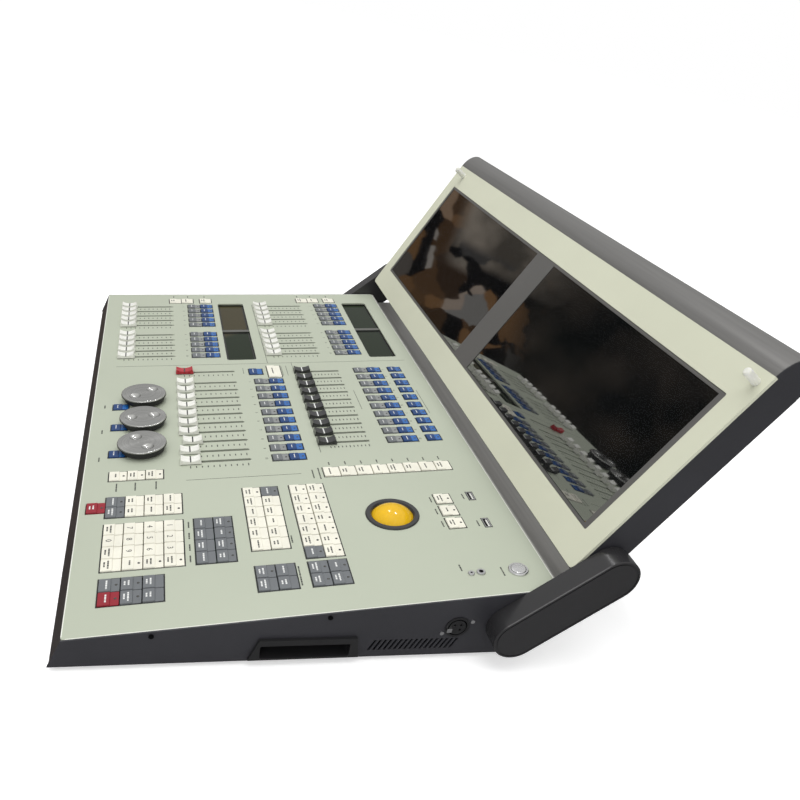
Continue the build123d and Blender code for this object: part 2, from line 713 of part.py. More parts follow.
def arm_shell():
    """The right arm: a capsule cup, open outwards, with a socket for the shaft and a hinge pin."""
    x0 = HALF + SHEET + ARM_GAP
    x1 = x0 + ARM_DEPTH
    floor = 3.0
    low_y, low_z = world_yz(*ARM_LOW)
    high_y, high_z = world_yz(*ARM_HIGH)
    cup = side_prism(arm_outline(ARM_RADIUS), x0, x1)
    cup -= side_prism(arm_outline(ARM_RADIUS - ARM_WALL), x0 + floor, x1 + 1)
    cup += side_rod(low_y, low_z, SHAFT_RADIUS + 4, x0, x0 + 12)
    cup -= side_rod(low_y, low_z, SHAFT_RADIUS, x0 - 1, x0 + 10)
    cup += side_rod(high_y, high_z, PIN_RADIUS + 4, x0, x0 + 12)
    cup += side_rod(high_y, high_z, PIN_RADIUS, x0 - 18, x0 + 1)
    return cup


def arm_cover():
    """The right arm's outer cover, with a groove round its edge."""
    x1 = HALF + SHEET + ARM_GAP + ARM_DEPTH
    cover = side_prism(arm_outline(ARM_RADIUS), x1, x1 + COVER_DEPTH)
    cover = chamfer(cover.edges().group_by(Axis.X)[-1], 0.7)
    ring = arm_outline(ARM_RADIUS - 2.2) - arm_outline(ARM_RADIUS - 3.2)
    return cover - side_prism(ring, x1 + COVER_DEPTH - 0.8, x1 + COVER_DEPTH + 1)


def arm_shaft():
    """The shaft across the desk that ties the two arms together."""
    y, z = world_yz(*ARM_LOW)
    end = HALF + SHEET + ARM_GAP + 10
    return side_rod(y, z, SHAFT_RADIUS, -end, end)


# ---- lid ----
def lid_box(x0, x1, y0, y1, z0, z1):
    return block(x0, x1, y0, y1, z0, z1)


def lid_bezel():
    x0, x1, y0, y1 = SURROUND
    outer = rectangle(-LID_OVERHANG, DESK_WIDTH + LID_OVERHANG, 0, LID_HEIGHT, 0)
    outer = fillet(outer.vertices().group_by(Axis.Y)[0], 5.0)
    plate = extrude(outer - rectangle(x0, x1, y0, y1, 2.0), -BEZEL_SHEET)
    return LID * plate


def display_surround():
    x0, x1, y0, y1 = SURROUND
    gap = 0.1
    face = rectangle(x0 + gap, x1 - gap, y0 + gap, y1 - gap, 2.0)
    face -= [rectangle(left, right, *GLASS_V) for left, right in GLASS_X]
    return LID * Pos(0, 0, -0.6) * extrude(face, -3.4)


def display_glass():
    gap = 0.1
    panes = []
    for left, right in GLASS_X:
        face = rectangle(left + gap, right - gap, GLASS_V[0] + gap, GLASS_V[1] - gap)
        panes.append(LID * Pos(0, 0, -1.2) * extrude(face, -2.0))
    return panes


def display_panels():
    panels = []
    for left, right in GLASS_X:
        panels.append(LID * block(left - 3, right + 3, GLASS_V[0] - 2, GLASS_V[1] + 2, -12.0, -4.2))
    return panels


def lid_top_extrusion():
    """Half-round hollow extrusion along the lid's top edge."""
    outer = Pos(LID_HEIGHT, -LID_THICK / 2) * Circle(LID_THICK / 2)
    inner = Pos(LID_HEIGHT, -LID_THICK / 2) * Circle(LID_THICK / 2 - 2)
    keep = rectangle(LID_HEIGHT + 0.05, LID_HEIGHT + LID_THICK, -LID_THICK, 0)
    shell = (outer - inner) & keep
    return LID * side_prism(shell, -LID_OVERHANG, DESK_WIDTH + LID_OVERHANG)


def lid_pivot():
    """Upper arm pivot in the lid frame."""
    turn = math.radians(LID_TILT)
    dy = ARM_HIGH[0] - LID_BOTTOM[0]
    dz = ARM_HIGH[1] - LID_BOTTOM[1]
    return dy * math.cos(turn) + dz * math.sin(turn), dz * math.cos(turn) - dy * math.sin(turn)


def lid_cheek(right):
    """End plate of the lid with the hinge block that takes the arm's pin."""
    pivot_y, pivot_z = lid_pivot()
    plate = rectangle(0, LID_HEIGHT, -LID_THICK, -BEZEL_SHEET - 0.05)
    round_end = Pos(LID_HEIGHT, -LID_THICK / 2) * Circle(LID_THICK / 2 - 2.1)
    plate += round_end & rectangle(LID_HEIGHT - 2, LID_HEIGHT + 20, -LID_THICK, -BEZEL_SHEET - 0.05)
    bore = Pos(pivot_y, pivot_z) * Circle(PIN_RADIUS + RUNNING_GAP)
    hinge = rectangle(pivot_y - 12, pivot_y + 12, -LID_THICK + 2.1, pivot_z + 11)
    edge = DESK_WIDTH + LID_OVERHANG
    cheek = side_prism(plate - bore, edge - CHEEK_SHEET, edge)
    cheek += side_prism(hinge - bore, edge - 22, edge - CHEEK_SHEET)
    if not right:
        cheek = Pos(DESK_WIDTH, 0, 0) * mirror(cheek, Plane.YZ)
    return LID * cheek


def lid_back_shell():
    """Back and bottom of the lid, folded from one sheet between the cheeks."""
    side = CHEEK_SHEET - LID_OVERHANG + 0.05
    back = block(side, DESK_WIDTH - side, 0, LID_HEIGHT, -LID_THICK, -LID_THICK + 2)
    bottom = block(side, DESK_WIDTH - side, 0, 2, -LID_THICK, -BEZEL_SHEET - 0.05)
    return LID * (back + bottom)


def lid_bumpers():
    studs = []
    for x, y in BUMPERS:
        stud = post(x, y, 0, BUMPER_HEIGHT, BUMPER_RADIUS)
        studs.append(LID * fillet(stud.edges().group_by(Axis.Z)[-1], 1.8))
    return studs


# ---- write every node ----
os.makedirs("parts", exist_ok=True)

save("base_tray", base_tray())
save("left_side_panel", side_panel(False))
save("right_side_panel", side_panel(True))
save("rear_panel", rear_panel())
save("control_fascia", control_fascia())
save("rear_trim_strip", rear_trim_strip())
save("carry_handles", handle(False), handle(True))
save("data_sockets", side_data_socket(), *rear_data_sockets())
save("side_socket_latch", *socket_screws_and_latch())
save("rear_port_row", *rear_port_row())
save("power_inlet", power_inlet())
save("feet", *feet())
save("case_screws", *case_screws())
save("fascia_sockets", *fascia_usb_ports(), *fascia_jacks())
save("channel_displays", *channel_displays())
save("fader_tracks", *fader_tracks())
save("encoder_units", *encoder_units())
save("trackball_housing", trackball_housing())
save("trackball_ring", trackball_ring())
save("power_button_ring", power_button_ring())
save("key_boards", *key_boards(), *key_switches())
save("mainboard", mainboard())
save("power_supply", power_supply())
save("shaft_bushes", *shaft_bushes())

save("right_arm", arm_shell())
save("left_arm", mirror(arm_shell(), Plane.YZ))
save("arm_covers", arm_cover(), mirror(arm_cover(), Plane.YZ))
save("arm_shaft", arm_shaft())

save("lid_back_shell", lid_back_shell())
save("lid_bezel", lid_bezel())
save("lid_top_extrusion", lid_top_extrusion())
save("lid_cheeks", lid_cheek(False), lid_cheek(True))
save("display_surround", display_surround())
save("display_glass", *display_glass())
save("display_panels", *display_panels())
save("lid_bumpers", *lid_bumpers())

for number, (x, y, turn) in enumerate(WHEELS, start=1):
    save("encoder_wheel_" + str(number), encoder_wheel(x, y, turn))
save("trackball", trackball())
save("power_button", power_button())

save("master_fader_cap", *bank_caps(MASTER_BANK))
for number, x in enumerate(PLAYBACK_X):
    lift = RAISED_BY if number == RAISED_PLAYBACK else 0.0
    save("playback_fader_" + str(number + 1), fader_cap(x, PLAYBACK_BANK["rest"] + lift))
save("front_bank_fader_caps", *bank_caps(FRONT_BANK))
save("rear_bank_fader_caps", *bank_caps(REAR_BANK))
save("short_fader_caps", *bank_caps(SHORT_BANK))

save("bank_grey_keys", *grey_bank_keys())
save("bank_blue_keys", *blue_bank_keys())
save("white_keys", *white_keys())
save("grey_keys", *grey_keys())
save("red_keys", *red_keys())
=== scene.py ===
import math

import bmesh
import bpy
from mathutils import Euler, Matrix, Vector


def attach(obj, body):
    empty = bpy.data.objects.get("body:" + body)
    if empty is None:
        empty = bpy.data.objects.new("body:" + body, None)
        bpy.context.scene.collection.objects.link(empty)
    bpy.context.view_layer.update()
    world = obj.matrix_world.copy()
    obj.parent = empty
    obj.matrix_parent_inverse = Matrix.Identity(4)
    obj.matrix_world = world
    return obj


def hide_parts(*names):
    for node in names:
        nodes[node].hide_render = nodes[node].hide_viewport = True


# Looks of a lighting control desk.  Lengths named here are millimetres in the fascia or lid frame:
# x from the desk's left edge, y up the slope, z out of the surface.  Blender's own unit is the metre.

MM = 0.001

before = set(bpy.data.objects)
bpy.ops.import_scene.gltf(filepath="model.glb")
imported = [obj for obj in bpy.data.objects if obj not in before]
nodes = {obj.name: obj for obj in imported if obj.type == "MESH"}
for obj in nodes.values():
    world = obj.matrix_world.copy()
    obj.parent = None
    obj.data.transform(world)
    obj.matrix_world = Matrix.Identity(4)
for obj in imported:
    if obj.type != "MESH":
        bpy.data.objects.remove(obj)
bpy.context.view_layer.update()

# ---- frames, as in the part ----
FASCIA_TILT = 6.57
LID_TILT = 53.55
FASCIA = Matrix.Translation((-0.370, -0.2597, 0.02986)) @ Matrix.Rotation(math.radians(FASCIA_TILT), 4, "X")
LID = FASCIA @ Matrix.Translation((0, 0.4012, 0.0216)) @ Matrix.Rotation(math.radians(LID_TILT), 4, "X")

# ---- layout, as in the part ----
DESK_WIDTH = 740.0
FASCIA_DEPTH = 397.5
SHELF_DROP = 13.0
SHELF_END = 428.0
KEY_PITCH = 16.85
KEY_GAP = 0.8
KEY_LOW = 0.5
KEY_TOP = 1.3
BANK_KEY_WIDTH = 12.6
BANK_KEY_LENGTH = 17.4
LEFT_X = [52.0 + 17.88 * i for i in range(5)] + [158.5 + 17.88 * i for i in range(5)]
PLAYBACK_X = [312.3 + 20.45 * i for i in range(10)]
SHORT_X = [287.3 + 20.33 * i for i in range(10)]
MASTER_X = 281.0
BLUE_ROW_Y = 355.0

# Key fields: left x, front y, columns, rows.
FIELDS = {
    "scroll": (508.0, 23.3, 1, 3),
    "select": (553.2, 22.8, 2, 4),
    "numbers": (597.0, 22.8, 4, 4),
    "locate": (673.6, 22.8, 2, 3),
    "attribute": (597.0, 99.3, 4, 2),
    "record": (551.2, 146.3, 6, 2),
    "preset": (673.6, 146.3, 2, 2),
    "macro": (551.2, 191.0, 7, 2),
    "time": (673.6, 191.0, 2, 2),
}
GREY_CELLS = {
    "select": {(0, 0), (1, 0)},
    "locate": {(0, 0), (0, 1), (1, 1), (0, 2), (1, 2)},
    "attribute": {(c, r) for c in range(4) for r in range(2)},
    "record": {(0, 1)},
    "preset": {(c, r) for c in range(2) for r in range(2)},
    "macro": {(6, 0)},
    "time": {(c, r) for c in range(2) for r in range(2)},
}
RED_CELLS = {"locate": {(1, 0)}}

# Keys with a lamp in their rear half.
LAMP_CELLS = {
    "scroll": {(0, r) for r in range(3)},
    "select": {(1, 3), (0, 0), (1, 0)},
    "numbers": {(3, 1), (3, 2), (3, 3)},
    "locate": {(c, r) for c in range(2) for r in range(2)},
    "attribute": {(c, 1) for c in range(4)},
    "record": {(0, 0), (0, 1)},
    "preset": {(0, 0)},
    "macro": {(c, r) for c in range(7) for r in range(2)},
    "time": {(c, r) for c in range(2) for r in range(2)},
}

# Numerals of the number pad, by row from the front.
NUMERALS = ((None, "0", None, None), ("7", "8", "9", None), ("4", "5", "6", None), ("1", "2", "3", None))

MENU_KEYS = (521.5, 229.3, 8)
MENU_KEY_WIDTH = 17.8
MOUSE_KEYS = ((592.5, 337.0), (613.0, 337.0), (634.0, 337.0))
SHIFT_KEY = (569.7, 14.6)
BLUE_MODE_KEY = (284.0, 186.0)
WHITE_MODE_KEY = (284.5, 208.8)
WHEEL_KEYS = ((369.0, 29.5), (417.0, 29.5), (473.5, 29.5))
PAGE_KEYS = ((29.0, 137.0), (29.0, 111.0), (29.0, 94.0), (29.0, 322.0), (29.0, 297.5), (29.0, 280.5))
WHITE_MODE_WIDTH = 33.8
OPENING_MARGIN = 0.3
BANK_KEYS = ((LEFT_X, 111.0), (LEFT_X, 296.0), (PLAYBACK_X, 182.0), (SHORT_X, 310.0))

# Slots: x list, how far to the right the scale stands, y of the top scale line, step of the scale.
# The slot itself runs SLOT_OVERRUN past both ends of its scale.
SCALES = (
    (LEFT_X, 8.9, 85.5, 5.7),
    (LEFT_X, 8.9, 271.0, 5.7),
    (PLAYBACK_X, 9.8, 157.0, 5.7),
    ([MASTER_X], 9.8, 157.0, 5.7),
    (SHORT_X, 9.8, 288.0, 4.2),
)
SCALE_LINES = 11
SLOT_OVERRUN = 2.5

# The dark line beside a slot starts and ends this far from the slot's middle.
SLOT_EDGE = (1.22, 1.8)

WHEELS = {
    "encoder_wheel_1": (353.2, 54.6),
    "encoder_wheel_2": (410.3, 54.5),
    "encoder_wheel_3": (466.5, 54.1),
}
WHEEL_FOOT = 1.7
WHEEL_RIM = 7.3
SKIRT_RADIUS = 20.5
WHEEL_RADIUS = 24.0

# Fader caps: node, body, x list, resting y.  The finger dip is lowest in the middle.
CAP_WIDTH = 11.0
CAP_DIP = 3.6
CAP_ROWS = [
    ("front_bank_faders", LEFT_X, 31.0),
    ("rear_bank_faders", LEFT_X, 214.8),
    ("master_fader", [MASTER_X], 100.5),
    ("short_faders", SHORT_X, 243.2),
]
CAP_ROWS += [("fader_" + str(i + 1), [x], 104.0 if i == 7 else 100.5) for i, x in enumerate(PLAYBACK_X)]

WINDOWS = ((40.0, 246.0, 154.0, 191.0), (40.0, 246.0, 340.0, 377.0))
WINDOW_DIVIDER = (138.5, 147.5)
USB_PORTS = ((590.5, 366.5), (637.0, 367.0))

# The lid's top bar.  It rises HOOD_RISE above the bezel, and its end plates stand just outside the lid.
LID_HEIGHT = 206.2
LID_THICK = 34.0
LID_OVERHANG = 1.0
HOOD_RISE = 25.0
HOOD_STEPS = 48
HOOD_GAP = 0.05
END_PLATE = 0.6
END_PLATE_INSET = 0.3

# The main panes mirror as if they stood this steep against the fascia and turned a little to the right.
PANE_LOOK = 76.4
PANE_YAW = 0.09

# Printed marks reach a little into the sheet and a little out of it.
INK_LIFT = 0.06
INK_SINK = 0.04

# The room that the panes mirror, as bands of a direction's Y part, and of its Z part for the bench top.
GLOOM_TO_CLUTTER = (-0.66, -0.61)
GLOOM_TO_WALL = (-0.685, -0.60)
WALL_TO_CLUTTER = (-0.555, -0.535)
BENCH_TOP = (-0.095, -0.080)

# Above, in front and to the right of that room all is pale: bands of Z, Y and X.
PALE_ABOVE = (0.06, 0.22)
PALE_NEAR = (-0.30, 0.15)
PALE_RIGHT = (-0.45, 0.1)

# ---- camera ----
CAMERA_PLACE = (0.7955, -0.1922, 0.4294)
CAMERA_TURN = (52.707, -10.785, 76.128)
CAMERA_LENS = 33.11
CAMERA_SHIFT = (0.0134, 0.22)
FLOOR_LIFT = 0.45


# ---- material helpers ----
def new_material(name):
    """An empty Principled material: the material, its tree and its shader."""
    material = bpy.data.materials.new(name)
    material.use_nodes = True
    tree = material.node_tree
    return material, tree, tree.nodes["Principled BSDF"]


def add(tree, kind, **inputs):
    """A new node with its inputs set by name."""
    node = tree.nodes.new(kind)
    for name, value in inputs.items():
        node.inputs[name.replace("_", " ")].default_value = value
    return node


def noise(tree, scale, detail=3.0, stretch=(1, 1, 1)):
    """Noise in the object's own coordinates, so that it stays on the part as it moves."""
    place = tree.nodes.new("ShaderNodeTexCoord")
    mapping = add(tree, "ShaderNodeMapping", Scale=stretch)
    texture = add(tree, "ShaderNodeTexNoise", Scale=scale, Detail=detail)
    tree.links.new(place.outputs["Object"], mapping.inputs["Vector"])
    tree.links.new(mapping.outputs["Vector"], texture.inputs["Vector"])
    return texture.outputs["Fac"]


def ramp(tree, source, low, high, dark, light):
    """Maps a value between low and high to two colours."""
    node = tree.nodes.new("ShaderNodeValToRGB")
    node.color_ramp.elements[0].position = low
    node.color_ramp.elements[0].color = (*dark, 1)
    node.color_ramp.elements[1].position = high
    node.color_ramp.elements[1].color = (*light, 1)
    tree.links.new(source, node.inputs["Fac"])
    return node.outputs["Color"]


def spread(tree, source, low, high):
    """Maps a 0 to 1 value to low to high."""
    node = add(tree, "ShaderNodeMapRange")
    node.inputs["To Min"].default_value = low
    node.inputs["To Max"].default_value = high
    tree.links.new(source, node.inputs["Value"])
    return node.outputs["Result"]


def bump(tree, shader, source, strength, distance):
    node = add(tree, "ShaderNodeBump", Strength=strength, Distance=distance)
    tree.links.new(source, node.inputs["Height"])
    tree.links.new(node.outputs["Normal"], shader.inputs["Normal"])


def shade(colour, factor):
    return tuple(channel * factor for channel in colour)


def smooth_step(tree, source, low, high):
    """0 below low, 1 above high, smooth between."""
    node = add(tree, "ShaderNodeMapRange")
    node.interpolation_type = "SMOOTHSTEP"
    node.inputs["From Min"].default_value = low
    node.inputs["From Max"].default_value = high
    tree.links.new(source, node.inputs["Value"])
    return node.outputs["Result"]


def maths(tree, operation, first, second):
    node = tree.nodes.new("ShaderNodeMath")
    node.operation = operation
    for socket, source in zip(node.inputs, (first, second)):
        if isinstance(source, float):
            socket.default_value = source
        else:
            tree.links.new(source, socket)
    return node.outputs["Value"]


def vector_maths(tree, operation, source, second=None):
    """The outputs of a vector node fed by source, with a fixed second vector where it takes one."""
    node = tree.nodes.new("ShaderNodeVectorMath")
    node.operation = operation
    tree.links.new(source, node.inputs[0])
    if second is not None:
        node.inputs[1].default_value = second
    return node.outputs


def to_world(tree, kind):
    """A node that carries a vector or normal of the object into the world."""
    node = tree.nodes.new("ShaderNodeVectorTransform")
    node.vector_type = kind
    node.convert_from = "OBJECT"
    node.convert_to = "WORLD"
    return node


def blend(tree, factor, first, second):
    """Mixes two colours."""
    node = tree.nodes.new("ShaderNodeMix")
    node.data_type = "RGBA"
    tree.links.new(factor, node.inputs[0])
    tree.links.new(first, node.inputs[6])
    tree.links.new(second, node.inputs[7])
    return node.outputs[2]


# ---- materials ----
def coated(name, colour, roughness, grain, depth, uneven, specular=0.5):
    """Painted or powder-coated sheet: fine orange peel, faint clouding and rubbed patches."""
    material, tree, shader = new_material(name)
    clouds = noise(tree, 7.0, 4.0)
    tint = ramp(tree, clouds, 0.3, 0.7, shade(colour, 1 - uneven), shade(colour, 1 + uneven * 0.5))
    tree.links.new(tint, shader.inputs["Base Color"])
    rubbed = noise(tree, 24.0, 6.0)
    tree.links.new(spread(tree, rubbed, roughness - 0.06, roughness + 0.06), shader.inputs["Roughness"])
    shader.inputs["Specular IOR Level"].default_value = specular
    bump(tree, shader, noise(tree, grain, 2.0), 0.35, depth)
    return material


def plastic(name, colour, roughness, grain=1400.0, depth=0.00002, coat=0.0, translucency=0.0):
    """Moulded plastic: a fine sparkle texture and slightly uneven colour."""
    material, tree, shader = new_material(name)
    clouds = noise(tree, 40.0, 3.0)
    tint = ramp(tree, clouds, 0.3, 0.7, shade(colour, 0.93), shade(colour, 1.04))
    tree.links.new(tint, shader.inputs["Base Color"])
    handled = noise(tree, 90.0, 4.0)
    tree.links.new(spread(tree, handled, roughness - 0.05, roughness + 0.08), shader.inputs["Roughness"])
    shader.inputs["Coat Weight"].default_value = coat
    shader.inputs["Coat Roughness"].default_value = 0.08
    if translucency:
        shader.inputs["Subsurface Weight"].default_value = translucency
        shader.inputs["Subsurface Radius"].default_value = (0.004, 0.004, 0.003)
        shader.inputs["Subsurface Scale"].default_value = 0.4
    bump(tree, shader, noise(tree, grain, 2.0), 0.3, depth)
    return material


def brushed(name, colour, roughness, stretch, depth=0.00005, metallic=1.0):
    """Metal brushed along one axis."""
    material, tree, shader = new_material(name)
    lines = noise(tree, 260.0, 4.0, stretch)
    tint = ramp(tree, lines, 0.25, 0.75, shade(colour, 0.82), shade(colour, 1.1))
    tree.links.new(tint, shader.inputs["Base Color"])
    tree.links.new(spread(tree, lines, roughness - 0.08, roughness + 0.1), shader.inputs["Roughness"])
    shader.inputs["Metallic"].default_value = metallic
    bump(tree, shader, lines, 0.4, depth)
    return material


def turned(name, colour, centre):
    """Metal turned on a lathe: fine rings round the wheel's own axis, and a highlight that fans out."""
    material, tree, shader = new_material(name)
    hub = FASCIA @ Vector((centre[0] * MM, centre[1] * MM, 0))
    axis = (FASCIA.to_3x3() @ Vector((0, 0, 1))).normalized()
    place = tree.nodes.new("ShaderNodeTexCoord")
    from_hub = vector_maths(tree, "SUBTRACT", place.outputs["Object"], hub)
    around = vector_maths(tree, "CROSS_PRODUCT", from_hub["Vector"], axis)
    reach = vector_maths(tree, "LENGTH", around["Vector"])
    rings = add(tree, "ShaderNodeTexNoise", Scale=420.0, Detail=1.0)
    rings.noise_dimensions = "1D"
    tree.links.new(reach["Value"], rings.inputs["W"])
    tint = ramp(tree, rings.outputs["Fac"], 0.3, 0.7, shade(colour, 0.93), shade(colour, 1.05))
    tree.links.new(tint, shader.inputs["Base Color"])
    tree.links.new(spread(tree, rings.outputs["Fac"], 0.17, 0.24), shader.inputs["Roughness"])
    tangent = to_world(tree, "VECTOR")
    tree.links.new(around["Vector"], tangent.inputs["Vector"])
    tree.links.new(tangent.outputs["Vector"], shader.inputs["Tangent"])
    shader.inputs["Anisotropic"].default_value = 0.85
    shader.inputs["Metallic"].default_value = 1.0
    bump(tree, shader, rings.outputs["Fac"], 0.15, 0.00002)
    return material


def glass(name, colour, roughness, ior, dust):
    """Polished glass over a dark screen, with a trace of dust."""
    material, tree, shader = new_material(name)
    specks = noise(tree, 60.0, 8.0)
    tint = ramp(tree, specks, 0.45, 0.85, colour, tuple(channel + dust for channel in colour))
    tree.links.new(tint, shader.inputs["Base Color"])
    tree.links.new(spread(tree, specks, roughness, roughness + 0.03), shader.inputs["Roughness"])
    shader.inputs["IOR"].default_value = ior
    return material


def small_screen(name):
    """An unlit dark green screen with a painted reflection: olive at the near left, where it faces a lamp."""
    material, tree, shader = new_material(name)
    place = tree.nodes.new("ShaderNodeTexCoord")
    # Painted reflection: this mask turns the near left of each screen olive in place of a lamp's reflection.
    along = vector_maths(tree, "DOT_PRODUCT", place.outputs["Object"], (1.0, 0.8, 0.0))
    aside = smooth_step(tree, along["Value"], -0.310, -0.275)
    tint = ramp(tree, aside, 0.2, 0.8, (0.046, 0.038, 0.015), (0.007, 0.015, 0.004))
    tree.links.new(tint, shader.inputs["Base Color"])
    smears = noise(tree, 45.0, 5.0)
    tree.links.new(spread(tree, smears, 0.04, 0.14), shader.inputs["Roughness"])
    shader.inputs["IOR"].default_value = 1.3
    shader.inputs["Specular IOR Level"].default_value = 0.3
    return material


def mirror_glass(name):
    """The main panes: mirror-bright black glass, shaded as if steeper, so that it mirrors the desk."""
    material = glass(name, (0.006, 0.006, 0.007), 0.01, ior=3.2, dust=0.003)
    tree = material.node_tree
    shader = tree.nodes["Principled BSDF"]
    lean = Matrix.Rotation(math.radians(FASCIA_TILT + PANE_LOOK), 3, "X") @ Vector((0, 0, 1))
    lean.x = PANE_YAW
    facing = to_world(tree, "NORMAL")
    facing.inputs["Vector"].default_value = lean.normalized()
    tree.links.new(facing.outputs["Vector"], shader.inputs["Normal"])
    return material


def paint_nodes():
    """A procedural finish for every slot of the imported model."""
    finishes = {
        "case_black": coated("case_black", (0.034, 0.034, 0.040), 0.38, 700.0, 0.00012, 0.2),
        "fascia_green": coated("fascia_green", (0.455, 0.49, 0.393), 0.40, 1100.0, 0.00002, 0.03, 0.4),
        "bezel_green": coated("bezel_green", (0.60, 0.61, 0.48), 0.36, 1100.0, 0.00002, 0.05, 0.45),
        "brushed_grey": brushed("brushed_grey", (0.15, 0.147, 0.142), 0.38, (0.02, 1, 1), metallic=0.3),
        "surround_grey": coated("surround_grey", (0.096, 0.093, 0.088), 0.40, 900.0, 0.00003, 0.10),
        "arm_black": coated("arm_black", (0.027, 0.0265, 0.028), 0.24, 800.0, 0.00006, 0.18),
        "moulded_black": plastic("moulded_black", (0.016, 0.016, 0.017), 0.5, 900.0, 0.00006),
        "socket_black": plastic("socket_black", (0.014, 0.014, 0.015), 0.34),
        "bright_steel": brushed("bright_steel", (0.72, 0.72, 0.73), 0.24, (1, 0.05, 1), 0.00002),
        "port_steel": brushed("port_steel", (0.55, 0.55, 0.56), 0.32, (0.05, 1, 1), 0.00002),
        "track_steel": brushed("track_steel", (0.32, 0.32, 0.33), 0.45, (1, 0.05, 1), 0.00003),
        "rubber_black": plastic("rubber_black", (0.02, 0.02, 0.02), 0.75, 700.0, 0.0001),
        "screw_black": brushed("screw_black", (0.02, 0.02, 0.022), 0.4, (1, 1, 0.1), 0.00003),
        "small_screen": small_screen("small_screen"),
        "ring_black": plastic("ring_black", (0.02, 0.02, 0.023), 0.28, 1200.0, 0.00001, 0.3),
        "board_green": plastic("board_green", (0.02, 0.10, 0.045), 0.45),
        "dark_glass": mirror_glass("dark_glass"),
        "bumper_white": plastic("bumper_white", (0.72, 0.72, 0.66), 0.3, 1200.0, 0.00001, 0.2, 0.3),
        "ball_amber": plastic("ball_amber", (0.78, 0.46, 0.003), 0.11, 60.0, 0.00002, 0.0, 0.04),
        "cap_white": plastic("cap_white", (0.84, 0.84, 0.78), 0.26, 1400.0, 0.00001, 0.25),
        "cap_red": plastic("cap_red", (0.42, 0.006, 0.02), 0.26, 1400.0, 0.00001, 0.25),
        "cap_black": plastic("cap_black", (0.022, 0.022, 0.024), 0.28, 1400.0, 0.00001, 0.25),
        "key_grey": plastic("key_grey", (0.14, 0.15, 0.16), 0.36),
        "key_blue": plastic("key_blue", (0.005, 0.042, 0.16), 0.34),
        "key_white": plastic("key_white", (0.82, 0.80, 0.69), 0.34),
        "key_red": plastic("key_red", (0.27, 0.006, 0.018), 0.34),
    }
    special = {
        "rear_trim_strip": brushed("trim_grey", (0.52, 0.51, 0.485), 0.34, (0.02, 1, 1), metallic=0.2),
        "fascia_usb_ports": plastic("usb_black", (0.02, 0.02, 0.02), 0.4),
    }
    for name, node in nodes.items():
        for holder in node.material_slots:
            slot = holder.material.name.split(".")[0]
            if slot in finishes:
                holder.material = finishes[slot]
        if name in special:
            for holder in node.material_slots:
                holder.material = special[name]
        if name in WHEELS:
            node.material_slots[0].material = turned("turned_" + name, (0.50, 0.50, 0.49), WHEELS[name])
    return finishes


# ---- mesh helpers ----
def finish_piece(mesh_builder, name, body, material):
    """Turns a bmesh into a piece that rides on a body."""
    mesh = bpy.data.meshes.new(name)
    mesh_builder.to_mesh(mesh)
    mesh_builder.free()
    piece = bpy.data.objects.new(name, mesh)
    bpy.context.scene.collection.objects.link(piece)
    piece.data.materials.append(material)
    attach(piece, body)
    return piece


def spot(place, x, y, z):
    """A point of a frame, given in millimetres."""
    return place @ Vector((x * MM, y * MM, z * MM))


def circle(place, x, y, radius, height, segments):
    """Points round (x, y) at one height."""
    points = []
    for i in range(segments):
        angle = 2 * math.pi * i / segments
        points.append(spot(place, x + radius * math.cos(angle), y + radius * math.sin(angle), height))
    return points


def add_block(builder, place, x0, x1, y0, y1, z0, z1):
    """A closed block in a frame, given in millimetres."""
    corners = [
        builder.verts.new(spot(place, x, y, z))
        for z in (z0, z1)
        for x, y in ((x0, y0), (x1, y0), (x1, y1), (x0, y1))
    ]
    for loop in ((3, 2, 1, 0), (4, 5, 6, 7), (0, 1, 5, 4), (1, 2, 6, 5), (2, 3, 7, 6), (3, 0, 4, 7)):
        builder.faces.new([corners[i] for i in loop])


def add_mark(builder, x0, x1, y0, y1):
    """A printed mark on the fascia."""
    add_block(builder, FASCIA, x0, x1, y0, y1, -INK_SINK, INK_LIFT)


def add_turning(builder, place, x, y, profile, segments=24):
    """A closed turned shape about z at (x, y), from (radius, height) pairs that start and end on the axis."""
    rings = []
    for radius, height in profile:
        points = circle(place, x, y, radius, height, segments) if radius else [spot(place, x, y, height)]
        rings.append([builder.verts.new(point) for point in points])
    for lower, upper in zip(rings, rings[1:]):
        for i in range(segments):
            j = (i + 1) % segments
            below = [lower[k % len(lower)] for k in (i, j)]
            above = [upper[k % len(upper)] for k in (j, i)]
            builder.faces.new(list(dict.fromkeys(below + above)))


def add_text(builder, place, text, x, y, size, z0, z1):
    """Numerals as closed solids, centred on (x, y)."""
    curve = bpy.data.curves.new("numeral", "FONT")
    curve.body = text
    curve.size = size * MM
    curve.align_x = "CENTER"
    curve.align_y = "CENTER"
    curve.extrude = (z1 - z0) / 2 * MM
    curve.resolution_u = 3
    carrier = bpy.data.objects.new("numeral", curve)
    mesh = bpy.data.meshes.new_from_object(carrier)
    mesh.transform(place @ Matrix.Translation((x * MM, y * MM, (z0 + z1) / 2 * MM)))
    builder.from_mesh(mesh)
    bpy.data.objects.remove(carrier)
    bpy.data.curves.remove(curve)
    bpy.data.meshes.remove(mesh)


# ---- printed marks on the fascia ----
def scale_marks(ink):
    """Eleven short lines beside every slot."""
    builder = bmesh.new()
    for xs, aside, top, step in SCALES:
        for x in xs:
            for i in range(SCALE_LINES):
                y = top - i * step
                half = 2.2 if i % 5 == 0 else 1.7
                middle = x + aside
                add_mark(builder, middle - half, middle + half, y - 0.5, y + 0.5)
    return finish_piece(builder, "slot_scale_lines", "desk", ink)


